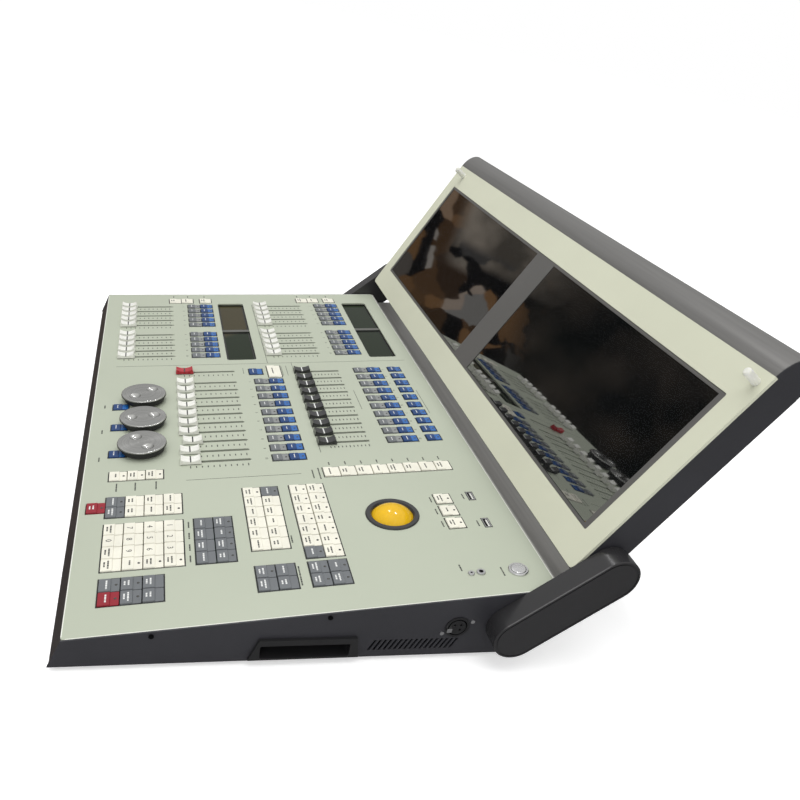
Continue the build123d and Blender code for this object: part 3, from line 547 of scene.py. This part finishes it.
def slot_edges(ink):
    """A dark line down both sides of every slot."""
    builder = bmesh.new()
    inner, outer = SLOT_EDGE
    for xs, _aside, top, step in SCALES:
        bottom = top - step * (SCALE_LINES - 1) - SLOT_OVERRUN
        for x in xs:
            for left, right in ((x - outer, x - inner), (x + inner, x + outer)):
                add_mark(builder, left, right, bottom, top + SLOT_OVERRUN)
    return finish_piece(builder, "slot_edge_lines", "desk", ink)


def column_numbers(ink):
    """Plain numerals below the key columns."""
    builder = bmesh.new()
    for xs, y in ((LEFT_X, 105.0), (LEFT_X, 290.0), (PLAYBACK_X, 176.0), (SHORT_X, 347.8)):
        for i, x in enumerate(xs):
            add_text(builder, FASCIA, str(i + 1), x, y, 4.0, -INK_SINK, INK_LIFT)
    return finish_piece(builder, "column_numerals", "desk", ink)


def dividing_lines(ink):
    """Thin lines between the groups of controls."""
    builder = bmesh.new()
    upright = ((258.8, 20.0, 385.0), (530.0, 95.0, 207.0))
    level = (
        (233.5, 258.0, 490.0),
        (203.5, 45.0, 258.0),
        (376.0, 350.0, 412.0),
        (298.0, 345.0, 395.0),
        (219.0, 268.0, 297.0),
        (225.0, 268.0, 297.0),
        (171.0, 272.0, 289.0),
    )
    half = 0.25
    for x, y0, y1 in upright:
        add_mark(builder, x - half, x + half, y0, y1)
    for y, x0, x1 in level:
        add_mark(builder, x0, x1, y - half, y + half)
    return finish_piece(builder, "dividing_lines", "desk", ink)


def label_dash(builder, place, x, y, width, z0, z1, seed, height=1.3):
    """A broken bar that stands for a printed word."""
    left = x - width / 2
    step = 0
    while left < x + width / 2 - 0.6:
        run = 1.2 + 0.5 * ((seed * 3 + step * 5) % 4)
        right = min(left + run, x + width / 2)
        add_block(builder, place, left, right, y - height / 2, y + height / 2, z0, z1)
        left = right + 0.45
        step += 1


def panel_labels(ink):
    """Generic dashes where the fascia has small captions."""
    builder = bmesh.new()
    captions = [(10.5, y, 6.0) for y in (136.0, 112.0, 92.0, 321.0, 296.0, 276.0)]
    captions += [(x, 12.5, 8.0) for x in (367.0, 425.0, 482.0)]
    captions += [(536.0, y, 14.0) for y in (67.0, 48.0, 31.0)]
    captions += [(x, 94.8, 10.0) for x in (606.0, 623.0, 640.0, 656.0)]
    captions += [(639.0, 182.5, 11.0), (691.0, 182.5, 26.0)]
    captions += [(514.0, 229.3 + KEY_PITCH * (i + 0.5), 6.0) for i in range(8)]
    captions += [(532.0, 225.0, 22.0), (532.0, 218.5, 16.0)]
    captions += [(x, 324.5, 9.0) for x, _y in MOUSE_KEYS]
    captions += [(590.5, 358.5, 9.0), (637.0, 358.5, 9.0), (710.0, 356.0, 12.0), (700.0, 320.5, 9.0)]
    for seed, (x, y, width) in enumerate(captions):
        label_dash(builder, FASCIA, x, y, width, -INK_SINK, INK_LIFT, seed)
    return finish_piece(builder, "caption_dashes", "desk", ink)


def key_openings():
    """Every key and USB opening in the fascia, as left, right, front and rear."""
    openings = []
    for x, y, columns, rows in FIELDS.values():
        openings.append((x, x + columns * KEY_PITCH, y, y + rows * KEY_PITCH))
    x, y, count = MENU_KEYS
    openings.append((x, x + MENU_KEY_WIDTH, y, y + count * KEY_PITCH))
    half = KEY_PITCH / 2
    narrow = BANK_KEY_WIDTH / 2 + OPENING_MARGIN
    single = [(*centre, half) for centre in (*MOUSE_KEYS, *PAGE_KEYS, BLUE_MODE_KEY)]
    single.append((*WHITE_MODE_KEY, WHITE_MODE_WIDTH / 2))
    single += [(*centre, narrow) for centre in WHEEL_KEYS]
    openings += [(x - wide, x + wide, y - half, y + half) for x, y, wide in single]
    openings += [(x - narrow, x + narrow, BLUE_ROW_Y, BLUE_ROW_Y + KEY_PITCH) for x in SHORT_X]
    for xs, front in BANK_KEYS:
        openings += [(x - narrow, x + narrow, front, front + 2 * BANK_KEY_LENGTH) for x in xs]
    openings += [(x - 7.0, x + 7.0, y - 3.1, y + 3.1) for x, y in USB_PORTS]
    return openings


def key_gap_shade(ink):
    """A thin dark line round every key and USB opening: painted shade for the dark gap between the fascia and
    what sits in the opening.
    """
    builder = bmesh.new()
    near, far = 0.04, 0.75
    for x0, x1, y0, y1 in key_openings():
        add_mark(builder, x0 - far, x0 - near, y0 - far, y1 + far)
        add_mark(builder, x1 + near, x1 + far, y0 - far, y1 + far)
        add_mark(builder, x0, x1, y0 - far, y0 - near)
        add_mark(builder, x0, x1, y1 + near, y1 + far)
    return finish_piece(builder, "key_gap_shade_lines", "desk", ink)


# ---- key legends and lamps ----
def cell_colour(field, cell):
    if cell in GREY_CELLS.get(field, set()):
        return "grey"
    if cell in RED_CELLS.get(field, set()):
        return "red"
    return "white"


def all_keys():
    """Every key: body, centre x, centre y, width, length, numeral, and whether it has a lamp."""
    keys = []
    size = KEY_PITCH - KEY_GAP
    for field, (x, y, columns, rows) in FIELDS.items():
        for column in range(columns):
            for row in range(rows):
                centre = (x + KEY_PITCH * (column + 0.5), y + KEY_PITCH * (row + 0.5))
                numeral = NUMERALS[row][column] if field == "numbers" else None
                lamp = (column, row) in LAMP_CELLS.get(field, set())
                keys.append((cell_colour(field, (column, row)), *centre, size, size, numeral, lamp))
    x, y, count = MENU_KEYS
    for i in range(count):
        centre = (x + MENU_KEY_WIDTH / 2, y + KEY_PITCH * (i + 0.5))
        keys.append(("white", *centre, MENU_KEY_WIDTH - KEY_GAP, size, None, False))
    keys += [("white", *centre, size, size, None, True) for centre in MOUSE_KEYS]
    keys += [("white", *centre, size, size, None, False) for centre in PAGE_KEYS]
    keys.append(("red", *SHIFT_KEY, size, size, None, True))
    keys.append(("white", *WHITE_MODE_KEY, 33.0, size, None, False))
    keys.append(("bank_blue", *BLUE_MODE_KEY, size, size, None, False))
    length = BANK_KEY_LENGTH - KEY_GAP
    for xs, front in BANK_KEYS:
        for cx in xs:
            for body, middle in (("bank_grey", BANK_KEY_LENGTH / 2), ("bank_blue", BANK_KEY_LENGTH * 1.5)):
                keys.append((body, cx, front + middle, BANK_KEY_WIDTH, length, None, True))
    for cx in SHORT_X:
        keys.append(("bank_blue", cx, BLUE_ROW_Y + KEY_PITCH / 2, BANK_KEY_WIDTH, size, None, True))
    for centre in WHEEL_KEYS:
        keys.append(("bank_blue", *centre, BANK_KEY_WIDTH, size, None, False))
    return keys


def add_legend(builder, key, seed, has_lens):
    """A numeral, or one or two rows of dashes, on a key's raised front part."""
    _body, x, y, width, length, numeral, _lamp = key
    front = y - length * 0.2
    low, high = KEY_TOP - INK_SINK, KEY_TOP + INK_LIFT
    span = width * (0.42 + 0.08 * (seed % 4))
    if numeral:
        add_text(builder, FASCIA, numeral, x, front, 7.0, low, high)
    elif has_lens:
        label_dash(builder, FASCIA, x, front, span, low, high, seed, 0.9)
    else:
        label_dash(builder, FASCIA, x, front + 1.3, span, low, high, seed)
        if seed % 3:
            label_dash(builder, FASCIA, x, front - 1.7, span * 0.7, low, high, seed + 2)


def key_marks(dark_ink, light_ink, lamp_finish, lens_finishes):
    """Legends on the raised front part of each key, lamps and coloured lenses on the lower rear part."""
    bodies = ("white", "grey", "red", "bank_grey", "bank_blue")
    legends = {body: bmesh.new() for body in bodies}
    lamps = {body: bmesh.new() for body in bodies}
    lenses = {body: bmesh.new() for body in lens_finishes}
    foot = KEY_LOW - 0.3
    dome = ((0, foot), (1.15, foot), (1.15, KEY_LOW + 0.1), (0.8, KEY_LOW + 0.35), (0, KEY_LOW + 0.45))
    for seed, key in enumerate(all_keys()):
        body, x, y, width, length, _numeral, lamp = key
        add_legend(legends[body], key, seed, body in lenses)
        if lamp:
            add_turning(lamps[body], FASCIA, x, y + length * 0.33, dome, 14)
        if body in lenses:
            plate = (x - width / 2 + 0.7, x + width / 2 - 0.7, y + 0.6, y + length / 2 - 0.7)
            add_block(lenses[body], FASCIA, *plate, KEY_LOW - INK_SINK, KEY_LOW + 0.05)
    for body, builder in lenses.items():
        slot = "key_grey" if body == "bank_grey" else "key_blue"
        finish_piece(builder, body + "_key_lenses", body, lens_finishes[body])
    for body in bodies:
        ink, slot = (dark_ink, "case_black") if body == "white" else (light_ink, "cap_white")
        finish_piece(legends[body], body + "_key_legends", body, ink)
        finish_piece(lamps[body], body + "_key_lamps", body, lamp_finish)


# ---- small fittings ----
def ring_profile(inner, outer, low, high, edge):
    """Section of a flat ring with a broken edge, as (radius, height) pairs."""
    foot = ((inner, low), (outer, low))
    return (*foot, (outer, high - edge), (outer - edge, high), (inner + edge, high), (inner, high - edge))


def add_ring(builder, place, x, y, profile, segments=64):
    """A closed ring about z at (x, y) from a closed section of (radius, height) pairs."""
    hoops = [circle(place, x, y, radius, height, segments) for radius, height in profile]
    loops = [[builder.verts.new(point) for point in loop] for loop in zip(*hoops)]
    count = len(profile)
    for i in range(segments):
        here, there = loops[i], loops[(i + 1) % segments]
        for k in range(count):
            m = (k + 1) % count
            builder.faces.new((here[k], there[k], there[m], here[m]))


def cap_lines(ink, light_ink):
    """The pointer line across each cap, laid in its groove."""
    half, thin = CAP_WIDTH / 2, 0.65
    for body, xs, y in CAP_ROWS:
        builder = bmesh.new()
        for x in xs:
            add_block(builder, FASCIA, x - half, x + half, y - thin, y + thin, CAP_DIP - 0.45, CAP_DIP + 0.15)
        finish = light_ink if body == "short_faders" else ink
        finish_piece(builder, body + "_pointer_lines", body, finish)


def wheel_skirts(rubber):
    """A dark sleeve round the hub of each wheel, and a painted shadow ring under its rim."""
    for number, (node, (x, y)) in enumerate(WHEELS.items(), start=1):
        builder = bmesh.new()
        profile = ring_profile(SKIRT_RADIUS - 0.3, SKIRT_RADIUS + 0.9, WHEEL_FOOT, WHEEL_RIM, 0.3)
        add_ring(builder, FASCIA, x, y, profile, 96)
        # Painted shadow: a black ring round the lower side of the rim, where the disc's edge casts shade.
        rim_shadow = ring_profile(WHEEL_RADIUS - 0.2, WHEEL_RADIUS + 0.15, WHEEL_RIM - 0.02, WHEEL_RIM + 1.1, 0.1)
        add_ring(builder, FASCIA, x, y, rim_shadow, 96)
        finish_piece(builder, node + "_grip", "wheel_" + str(number), rubber)


def screen_frames(black, grey):
    """A thin dark frame round each small screen below its window, and a grey bar between the two."""
    builder = bmesh.new()
    bars = bmesh.new()
    inner, outer = WINDOW_DIVIDER
    side, end = 3.0, 2.4
    for x0, x1, y0, y1 in WINDOWS:
        for left, right in ((x0, inner), (outer, x1)):
            for a, b, c, d in (
                (left, left + side, y0, y1),
                (right - side, right, y0, y1),
                (left + side, right - side, y0, y0 + end),
                (left + side, right - side, y1 - end, y1),
            ):
                add_block(builder, FASCIA, a, b, c, d, -3.25, -3.0)
        add_block(bars, FASCIA, inner + 0.2, outer - 2.2, y0, y1, -2.15, -2.02)
        add_block(builder, FASCIA, outer - 2.2, outer - 0.2, y0, y1, -2.15, -2.04)
    finish_piece(builder, "small_screen_frames", "desk", black)
    finish_piece(bars, "small_screen_bars", "desk", grey)


def usb_tongues(cream, black):
    """Painted shade: a black block deep in each port, and the pale contact tongues."""
    port_shade = bmesh.new()
    tongues = bmesh.new()
    for x, y in USB_PORTS:
        add_block(port_shade, FASCIA, x - 6.15, x + 6.15, y - 2.25, y + 0.15, -5.2, -4.6)
        add_block(tongues, FASCIA, x - 5.5, x + 5.5, y + 0.3, y + 1.9, -0.62, -0.45)
    finish_piece(port_shade, "usb_port_shade", "desk", black)
    finish_piece(tongues, "usb_tongues", "desk", cream)


def fascia_edge_highlights(edge_highlight):
    """A painted highlight: a thin light line along each edge of the sheet, where the edges catch the light.
    """
    builder = bmesh.new()
    wide, inset = 0.8, 3.2
    low, high = -0.5, 0.05
    deep = FASCIA_DEPTH
    add_block(builder, FASCIA, inset, DESK_WIDTH - inset, 0.0, wide, low, high)
    add_block(builder, FASCIA, inset, DESK_WIDTH - inset, deep - wide, deep, low, high)
    add_block(builder, FASCIA, 0.0, wide, inset, deep - inset, low, high)
    add_block(builder, FASCIA, DESK_WIDTH - wide, DESK_WIDTH, inset, deep - inset, low, high)
    finish_piece(builder, "fascia_edge_highlight_lines", "desk", edge_highlight)


def rear_dark_strip(rubber):
    """A dark strip behind the grey shelf, below the lid."""
    builder = bmesh.new()
    front, rear = SHELF_END + 0.05, SHELF_END + 13.0
    add_block(builder, FASCIA, 4.0, DESK_WIDTH - 4.0, front, rear, -SHELF_DROP - 1.4, -SHELF_DROP - 0.2)
    finish_piece(builder, "rear_dark_strip", "desk", rubber)


def add_half_round(builder, x0, x1, rise, half_thick):
    """A closed half-round bar along the lid's top edge."""
    section = []
    for i in range(HOOD_STEPS + 1):
        angle = math.pi * i / HOOD_STEPS
        y = LID_HEIGHT + HOOD_GAP + rise * math.sin(angle)
        section.append((y, half_thick * math.cos(angle) - LID_THICK / 2))
    left, right = [[builder.verts.new(spot(LID, x, y, z)) for y, z in section] for x in (x0, x1)]
    builder.faces.new(left)
    builder.faces.new(right[::-1])
    for i in range(len(section)):
        j = (i + 1) % len(section)
        builder.faces.new((left[j], left[i], right[i], right[j]))
    bmesh.ops.recalc_face_normals(builder, faces=builder.faces)


def lid_hood(grey, black):
    """The lid's top extrusion, fuller than a half circle, with black end plates."""
    left, right = -LID_OVERHANG, DESK_WIDTH + LID_OVERHANG
    bar = bmesh.new()
    add_half_round(bar, left + END_PLATE, right - END_PLATE, HOOD_RISE, LID_THICK / 2)
    hood = finish_piece(bar, "lid_hood", "lid", grey)
    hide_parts("lid_top_extrusion")
    plates = bmesh.new()
    for x0, x1 in ((left - HOOD_GAP, left + END_PLATE), (right - END_PLATE, right + HOOD_GAP)):
        add_half_round(plates, x0, x1, HOOD_RISE - END_PLATE_INSET, LID_THICK / 2 - END_PLATE_INSET)
    finish_piece(plates, "lid_hood_ends", "lid", black)


# ---- stage, light, camera ----
def build_stage():
    """A plain pale floor, a little brighter to the eye; reflections look past it into the room."""
    builder = bmesh.new()
    bmesh.ops.create_grid(builder, x_segments=8, y_segments=8, size=60.0)
    mesh = bpy.data.meshes.new("floor")
    builder.to_mesh(mesh)
    builder.free()
    floor = bpy.data.objects.new("floor", mesh)
    floor.location.z = -0.0003
    bpy.context.scene.collection.objects.link(floor)
    material, tree, shader = new_material("floor_white")
    tint = ramp(tree, noise(tree, 1.5), 0.3, 0.7, (0.93, 0.93, 0.93), (0.96, 0.96, 0.96))
    tree.links.new(tint, shader.inputs["Base Color"])
    shader.inputs["Roughness"].default_value = 0.9
    shader.inputs["Specular IOR Level"].default_value = 0.1
    lift = add(tree, "ShaderNodeEmission")
    path = tree.nodes.new("ShaderNodeLightPath")
    strength = maths(tree, "MULTIPLY", path.outputs["Is Camera Ray"], FLOOR_LIFT)
    tree.links.new(strength, lift.inputs["Strength"])
    lit = tree.nodes.new("ShaderNodeAddShader")
    tree.links.new(shader.outputs["BSDF"], lit.inputs[0])
    tree.links.new(lift.outputs["Emission"], lit.inputs[1])
    tree.links.new(lit.outputs["Shader"], tree.nodes["Material Output"].inputs["Surface"])
    floor.visible_glossy = False
    floor.data.materials.append(material)


def workshop(tree, direction, across, height):
    """What the panes mirror: benches and boxes at the left, a bare wall, and darkness to the right."""
    bend = add(tree, "ShaderNodeTexNoise", Scale=9.0, Detail=5.0)
    tree.links.new(direction, bend.inputs["Vector"])
    shift = tree.nodes.new("ShaderNodeVectorMath")
    shift.operation = "MULTIPLY_ADD"
    shift.inputs[1].default_value = (0.09, 0.09, 0.05)
    tree.links.new(bend.outputs["Color"], shift.inputs[0])
    tree.links.new(direction, shift.inputs[2])
    boxes = add(tree, "ShaderNodeTexVoronoi", Scale=30.0)
    boxes.distance = "CHEBYCHEV"
    tree.links.new(shift.outputs["Vector"], boxes.inputs["Vector"])
    pick = tree.nodes.new("ShaderNodeSeparateColor")
    tree.links.new(boxes.outputs["Color"], pick.inputs["Color"])
    brown = ramp(tree, pick.outputs["Red"], 0.42, 0.95, (0.006, 0.006, 0.005), (0.24, 0.13, 0.055))
    pale_box = ramp(tree, pick.outputs["Green"], 0.80, 0.98, (0.0, 0.0, 0.0), (0.34, 0.33, 0.31))
    clutter = tree.nodes.new("ShaderNodeMix")
    clutter.data_type = "RGBA"
    clutter.blend_type = "ADD"
    clutter.inputs[0].default_value = 1.0
    tree.links.new(brown, clutter.inputs[6])
    tree.links.new(pale_box, clutter.inputs[7])
    plaster = add(tree, "ShaderNodeTexNoise", Scale=14.0, Detail=10.0)
    tree.links.new(direction, plaster.inputs["Vector"])
    wall = ramp(tree, plaster.outputs["Fac"], 0.36, 0.64, (0.10, 0.088, 0.07), (0.46, 0.40, 0.33))
    gloom = ramp(tree, plaster.outputs["Fac"], 0.4, 0.8, (0.004, 0.006, 0.004), (0.06, 0.05, 0.038))
    from_right = smooth_step(tree, across, *GLOOM_TO_WALL)
    from_left = maths(tree, "SUBTRACT", 1.0, smooth_step(tree, across, *WALL_TO_CLUTTER))
    ragged = maths(tree, "MULTIPLY", pick.outputs["Blue"], 0.03)
    over_bench = smooth_step(tree, maths(tree, "ADD", height, ragged), *BENCH_TOP)
    bare = maths(tree, "MULTIPLY", maths(tree, "MULTIPLY", from_right, from_left), over_bench)
    low = blend(tree, smooth_step(tree, across, *GLOOM_TO_CLUTTER), gloom, clutter.outputs[2])
    return blend(tree, bare, low, wall)


def build_world():
    """White to the eye and for diffuse light; reflections see a dim workshop under a bright ceiling."""
    world = bpy.data.worlds.new("studio")
    bpy.context.scene.world = world
    world.use_nodes = True
    tree = world.node_tree
    output = tree.nodes["World Output"]
    plain = tree.nodes["Background"]
    plain.inputs["Color"].default_value = (1.0, 1.0, 1.0, 1)
    plain.inputs["Strength"].default_value = 0.62

    seen = add(tree, "ShaderNodeBackground", Strength=1.0)
    seen.inputs["Color"].default_value = (1, 1, 1, 1)

    place = tree.nodes.new("ShaderNodeTexCoord")
    split = tree.nodes.new("ShaderNodeSeparateXYZ")
    tree.links.new(place.outputs["Generated"], split.inputs["Vector"])
    across, height = split.outputs["Y"], split.outputs["Z"]
    room = workshop(tree, place.outputs["Generated"], across, height)
    above = smooth_step(tree, height, *PALE_ABOVE)
    near = smooth_step(tree, across, *PALE_NEAR)
    right = smooth_step(tree, split.outputs["X"], *PALE_RIGHT)
    open_side = maths(tree, "MAXIMUM", maths(tree, "MAXIMUM", above, near), right)
    pale = ramp(tree, height, 0.05, 0.9, (0.22, 0.22, 0.22), (0.95, 0.95, 0.93))
    reflected = add(tree, "ShaderNodeBackground", Strength=1.0)
    tree.links.new(blend(tree, open_side, room, pale), reflected.inputs["Color"])

    path = tree.nodes.new("ShaderNodeLightPath")
    first = tree.nodes.new("ShaderNodeMixShader")
    tree.links.new(path.outputs["Is Glossy Ray"], first.inputs["Fac"])
    tree.links.new(plain.outputs["Background"], first.inputs[1])
    tree.links.new(reflected.outputs["Background"], first.inputs[2])
    second = tree.nodes.new("ShaderNodeMixShader")
    tree.links.new(path.outputs["Is Camera Ray"], second.inputs["Fac"])
    tree.links.new(first.outputs["Shader"], second.inputs[1])
    tree.links.new(seen.outputs["Background"], second.inputs[2])
    tree.links.new(second.outputs["Shader"], output.inputs["Surface"])


def add_area_light(name, place, target, size, power, glossy):
    light = bpy.data.lights.new(name, "AREA")
    light.shape = "RECTANGLE"
    light.size, light.size_y = size
    light.energy = power
    lamp = bpy.data.objects.new(name, light)
    lamp.location = place
    lamp.rotation_euler = (Vector(target) - Vector(place)).to_track_quat("-Z", "Y").to_euler()
    lamp.visible_glossy = glossy
    bpy.context.scene.collection.objects.link(lamp)


def build_lights():
    """Wide soft light that leaves no reflection, and two small lamps for the highlights."""
    add_area_light("overhead", (0.2, -0.3, 2.2), (0, 0, 0), (2.4, 1.2), 22.0, False)
    add_area_light("near_side", (2.2, -0.9, 1.3), (0.2, 0, 0.05), (1.2, 0.8), 8.0, True)
    add_area_light("lamp_left", (-0.7, -0.2, 1.6), (0, 0, 0), (0.12, 0.12), 2.6, True)
    add_area_light("lamp_right", (-0.2, 0.3, 1.6), (0, 0, 0), (0.12, 0.12), 2.6, True)


def build_camera():
    data = bpy.data.cameras.new("camera")
    data.sensor_width = 36.0
    data.lens = CAMERA_LENS
    data.shift_x, data.shift_y = CAMERA_SHIFT
    data.clip_start = 0.01
    camera = bpy.data.objects.new("camera", data)
    camera.location = CAMERA_PLACE
    camera.rotation_euler = Euler([math.radians(angle) for angle in CAMERA_TURN], "XYZ")
    bpy.context.scene.collection.objects.link(camera)
    bpy.context.scene.camera = camera


# ---- build ----
finishes = paint_nodes()
# Black for print, and for the painted shade round the key and USB openings.
print_and_shade_black = plastic("print_and_shade_black", (0.03, 0.032, 0.03), 0.5)
white_ink = plastic("white_ink", (0.75, 0.76, 0.74), 0.5)
lamp_smoke = plastic("lamp_smoke", (0.05, 0.05, 0.045), 0.2, 900.0, 0.00001, 0.4)
lens_finishes = {
    "bank_grey": plastic("lens_grey", (0.24, 0.25, 0.25), 0.25, 900.0, 0.00001, 0.3),
    "bank_blue": plastic("lens_blue", (0.006, 0.115, 0.40), 0.25, 900.0, 0.00001, 0.3),
}
# Dark finish of the wheel sleeves, of the painted shadow under each wheel rim, and of the dark strip behind
# the shelf.
grip_rubber = plastic("grip_rubber", (0.015, 0.015, 0.016), 0.55)
# Pale colour of the painted highlight along the fascia's edges.
edge_highlight = plastic("edge_highlight", (0.80, 0.82, 0.74), 0.3)
screen_black = plastic("screen_black", (0.006, 0.006, 0.006), 0.35)
bar_grey = plastic("bar_grey", (0.11, 0.11, 0.10), 0.4)
tongue_cream = plastic("tongue_cream", (0.72, 0.72, 0.68), 0.4)
# Black of the painted shade deep inside the USB ports.
port_shade_black = plastic("port_shade_black", (0.004, 0.004, 0.004), 0.6)

scale_marks(print_and_shade_black)
slot_edges(print_and_shade_black)
key_gap_shade(print_and_shade_black)
column_numbers(print_and_shade_black)
dividing_lines(print_and_shade_black)
panel_labels(print_and_shade_black)
key_marks(print_and_shade_black, white_ink, lamp_smoke, lens_finishes)
cap_lines(print_and_shade_black, white_ink)
wheel_skirts(grip_rubber)
rear_dark_strip(grip_rubber)
lid_hood(finishes["brushed_grey"], finishes["case_black"])
fascia_edge_highlights(edge_highlight)
screen_frames(screen_black, bar_grey)
usb_tongues(tongue_cream, port_shade_black)

build_stage()
build_world()
build_lights()
build_camera()
bpy.context.scene.view_settings.view_transform = "Standard"
